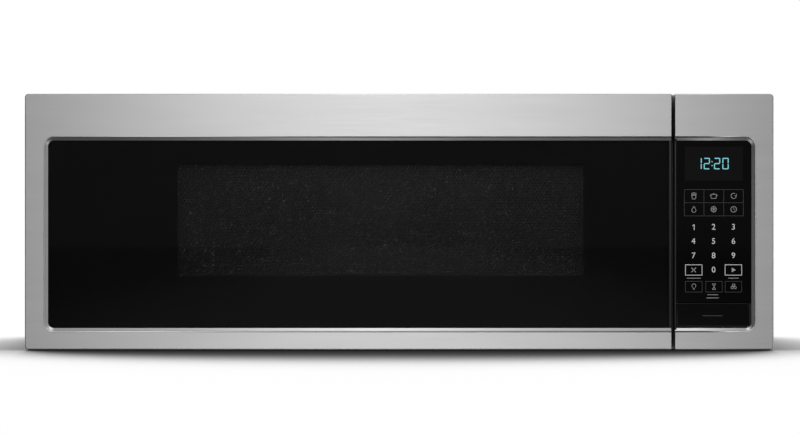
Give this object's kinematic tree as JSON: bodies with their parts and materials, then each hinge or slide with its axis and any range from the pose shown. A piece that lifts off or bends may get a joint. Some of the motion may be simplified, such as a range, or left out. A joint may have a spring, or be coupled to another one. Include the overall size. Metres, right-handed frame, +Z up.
{
  "type": "over-the-range microwave oven",
  "caption": "Low-profile built-in microwave oven with a side-hinged stainless and glass door, a touch panel, a turntable, grease filters and a top rear exhaust.",
  "frame": {"origin": "bottom face of the case, under the middle of the bounding box", "axes": "+X to the user's right, +Y towards the wall, +Z up; the door faces -Y"},
  "size_m": [0.7596, 0.466, 0.2603],
  "materials": {
    "stainless": "horizontally brushed",
    "dark_glass": "polished, black printed back",
    "case_paint": "fine-textured powder coat",
    "galvanised": "galvanised sheet",
    "enamel": "baked powder enamel",
    "black_plastic": "moulded satin",
    "gloss_button": "gloss",
    "white_plastic": "moulded",
    "clear_glass": "polished",
    "lens": "frosted",
    "aluminium": "stamped",
    "carbon": "granular",
    "mica": "layered",
    "bare_steel": "plain",
    "copper": "lacquered wire",
    "board": "laminate",
    "display": "gloss"
  },
  "bodies": {
    "case": {"outer_case": "case_paint", "back_panel": "galvanised", "base_plate": "galvanised", "wall_mounting_plate": "galvanised", "front_plate": "enamel", "oven_cavity": "enamel", "vent_grille": "black_plastic", "charcoal_filter": "carbon", "exhaust_frame": "galvanised", "cord_bushing": "black_plastic", "case_screws": "case_paint", "cooktop_lamp_lenses": "lens", "cooktop_lamp_boards": "board", "waveguide": "galvanised", "waveguide_cover": "mica", "magnetron": "bare_steel", "transformer_core": "bare_steel", "transformer_windings": "copper", "capacitor": "black_plastic", "diode": "board", "cooling_fan_motor": "bare_steel", "cooling_fan_shroud": "galvanised", "blower_housing": "galvanised", "blower_motor": "bare_steel", "line_filter_board": "board", "thermal_cutouts": "bare_steel", "turntable_motor": "bare_steel", "cavity_lamp": "black_plastic", "upper_hinge": "galvanised", "lower_hinge": "galvanised", "latch_body": "black_plastic", "interlock_switches": "black_plastic", "panel_skin": "stainless", "keypad_glass": "dark_glass", "panel_housing": "black_plastic", "display_module": "display", "control_board": "board"},
    "door": {"door_skin": "stainless", "door_glass": "dark_glass", "door_edge_trim": "black_plastic", "door_inner_frame": "enamel", "door_screen": "galvanised", "inner_window": "clear_glass", "choke_cover": "black_plastic", "latch_spring": "bare_steel"},
    "latch": {"latch_hooks": "white_plastic"},
    "button": {"door_open_button": "gloss_button"},
    "lever": {"open_lever": "white_plastic"},
    "damper": {"damper_flap": "galvanised"},
    "filter_left": {"grease_filter_left": "aluminium"},
    "filter_right": {"grease_filter_right": "aluminium"},
    "coupler": {"drive_coupler": "white_plastic"},
    "tray": {"glass_tray": "clear_glass"},
    "ring": {"roller_ring": "black_plastic"},
    "roller_a": {"roller_1": "white_plastic"},
    "roller_b": {"roller_2": "white_plastic"},
    "roller_c": {"roller_3": "white_plastic"},
    "fan": {"cooling_fan_blade": "white_plastic"},
    "blower": {"blower_wheels": "white_plastic"}
  },
  "joints": [
    {"name": "door_hinge", "type": "hinge", "parent": "case", "child": "door", "pos_m": [-0.37175, -0.2, 0.13], "axis": [0, 0, -1], "range_deg": [0, 105]},
    {"name": "latch_slide", "type": "slide", "parent": "door", "child": "latch", "axis": [0, 0, 1], "range_m": [0, 0.005], "stiffness_N_per_m": 300, "springref_m": -0.004, "deforming": ["latch_spring"]},
    {"name": "button_press", "type": "slide", "parent": "case", "child": "button", "axis": [0, 1, 0], "range_m": [0, 0.005], "stiffness_N_per_m": 500, "springref_m": -0.002},
    {"name": "lever_swing", "type": "hinge", "parent": "case", "child": "lever", "pos_m": [0.3193, -0.2005, 0.0639], "axis": [1, 0, 0], "range_deg": [0, 12]},
    {"name": "damper_hinge", "type": "hinge", "parent": "case", "child": "damper", "pos_m": [0, 0.215, 0.24065], "axis": [-1, 0, 0], "range_deg": [0, 75]},
    {"name": "filter_left_slide", "type": "slide", "parent": "case", "child": "filter_left", "axis": [0, 1, 0], "range_m": [0, 0.009]},
    {"name": "filter_right_slide", "type": "slide", "parent": "case", "child": "filter_right", "axis": [0, 1, 0], "range_m": [0, 0.009]},
    {"name": "coupler_spin", "type": "hinge", "parent": "case", "child": "coupler", "pos_m": [-0.019, -0.029, 0.05], "axis": [0, 0, 1], "continuous": true},
    {"name": "tray_lift", "type": "slide", "parent": "coupler", "child": "tray", "axis": [0, 0, 1], "range_m": [0, 0.02]},
    {"name": "ring_spin", "type": "hinge", "parent": "case", "child": "ring", "pos_m": [-0.019, -0.029, 0.0543], "axis": [0, 0, 1], "continuous": true},
    {"name": "roller_a_spin", "type": "hinge", "parent": "ring", "child": "roller_a", "pos_m": [0.086, -0.029, 0.0543], "axis": [1, 0, 0], "continuous": true},
    {"name": "roller_b_spin", "type": "hinge", "parent": "ring", "child": "roller_b", "pos_m": [-0.0715, 0.06193, 0.0543], "axis": [-0.5, 0.866, 0], "continuous": true},
    {"name": "roller_c_spin", "type": "hinge", "parent": "ring", "child": "roller_c", "pos_m": [-0.0715, -0.11993, 0.0543], "axis": [-0.5, -0.866, 0], "continuous": true},
    {"name": "fan_spin", "type": "hinge", "parent": "case", "child": "fan", "pos_m": [0.30938, 0.072, 0.071], "axis": [0, 1, 0], "continuous": true},
    {"name": "blower_spin", "type": "hinge", "parent": "case", "child": "blower", "pos_m": [0, 0.1777, 0.13], "axis": [1, 0, 0], "continuous": true}
  ],
  "couplings": [
    {"joint": "lever_swing", "follows": "button_press", "rad_per_m": 40},
    {"joint": "ring_spin", "follows": "coupler_spin", "ratio": 0.5},
    {"joint": "roller_a_spin", "follows": "coupler_spin", "ratio": -5.8333},
    {"joint": "roller_b_spin", "follows": "coupler_spin", "ratio": -5.8333},
    {"joint": "roller_c_spin", "follows": "coupler_spin", "ratio": -5.8333}
  ]
}
